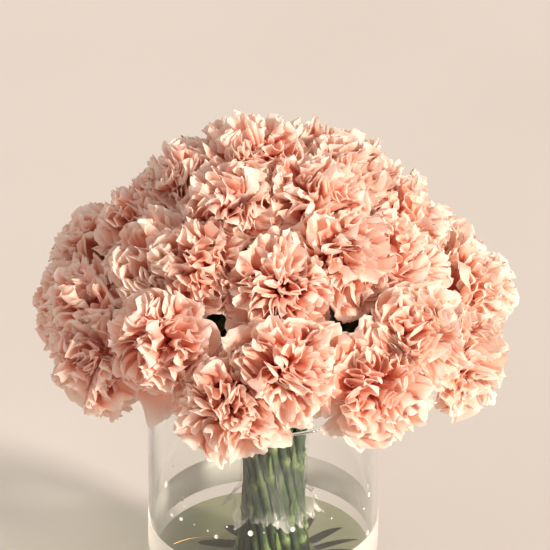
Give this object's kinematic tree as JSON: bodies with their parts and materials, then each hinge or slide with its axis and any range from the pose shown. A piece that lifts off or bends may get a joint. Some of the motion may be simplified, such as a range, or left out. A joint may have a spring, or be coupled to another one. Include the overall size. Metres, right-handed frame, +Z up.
{
  "type": "carnations in a vase",
  "caption": "Hand-tied dome of ruffled peach-pink carnations on green spiralled stems, in a film sleeve, standing in water in a clear glass cylinder vase with a pale band.",
  "frame": {"origin": "centre of the vase's flat bottom, on the surface it stands on", "axes": "+Z up along the vase's axis; the viewer faces +Y with +X to the right"},
  "size_m": [0.3086, 0.308, 0.3792],
  "materials": {
    "petals": "matt, thin and translucent, cream at the ruffled edge and coral in the folds",
    "stem_green": "waxy green plant skin, satin",
    "vase_glass": "clear, polished",
    "vase_water": "clear water, slightly green",
    "band_film": "pale translucent film, satin",
    "clear_film": "clear, crumpled, glossy"
  },
  "bodies": {
    "root": {"glass_vase": "vase_glass", "water": "vase_water", "label_band": "band_film", "film_sleeve": "clear_film", "inner_stems": "stem_green", "outer_stem_01": "stem_green", "outer_stem_02": "stem_green", "outer_stem_03": "stem_green", "outer_stem_04": "stem_green", "outer_stem_05": "stem_green", "outer_stem_06": "stem_green", "outer_stem_07": "stem_green", "outer_stem_08": "stem_green", "outer_stem_09": "stem_green", "outer_stem_10": "stem_green", "outer_stem_11": "stem_green", "outer_stem_12": "stem_green", "outer_stem_13": "stem_green", "outer_stem_14": "stem_green", "outer_stem_15": "stem_green", "outer_stem_16": "stem_green", "outer_stem_17": "stem_green", "outer_stem_18": "stem_green", "flower_head_01": "petals", "flower_head_02": "petals", "flower_head_03": "petals", "flower_head_04": "petals", "flower_head_05": "petals", "flower_head_06": "petals", "flower_head_07": "petals", "flower_head_08": "petals", "flower_head_09": "petals", "flower_head_10": "petals", "flower_head_11": "petals", "flower_head_12": "petals", "flower_head_13": "petals", "flower_head_14": "petals", "flower_head_15": "petals", "flower_head_16": "petals", "flower_head_17": "petals", "flower_head_18": "petals", "flower_head_19": "petals", "flower_head_20": "petals", "flower_head_21": "petals", "flower_head_22": "petals", "flower_head_23": "petals", "flower_head_24": "petals", "flower_head_25": "petals", "flower_head_26": "petals", "flower_head_27": "petals", "flower_head_28": "petals", "flower_head_29": "petals", "flower_head_30": "petals", "flower_head_31": "petals", "flower_head_32": "petals", "flower_head_33": "petals", "flower_head_34": "petals", "flower_head_35": "petals", "flower_head_36": "petals", "flower_head_37": "petals"}
  },
  "joints": []
}
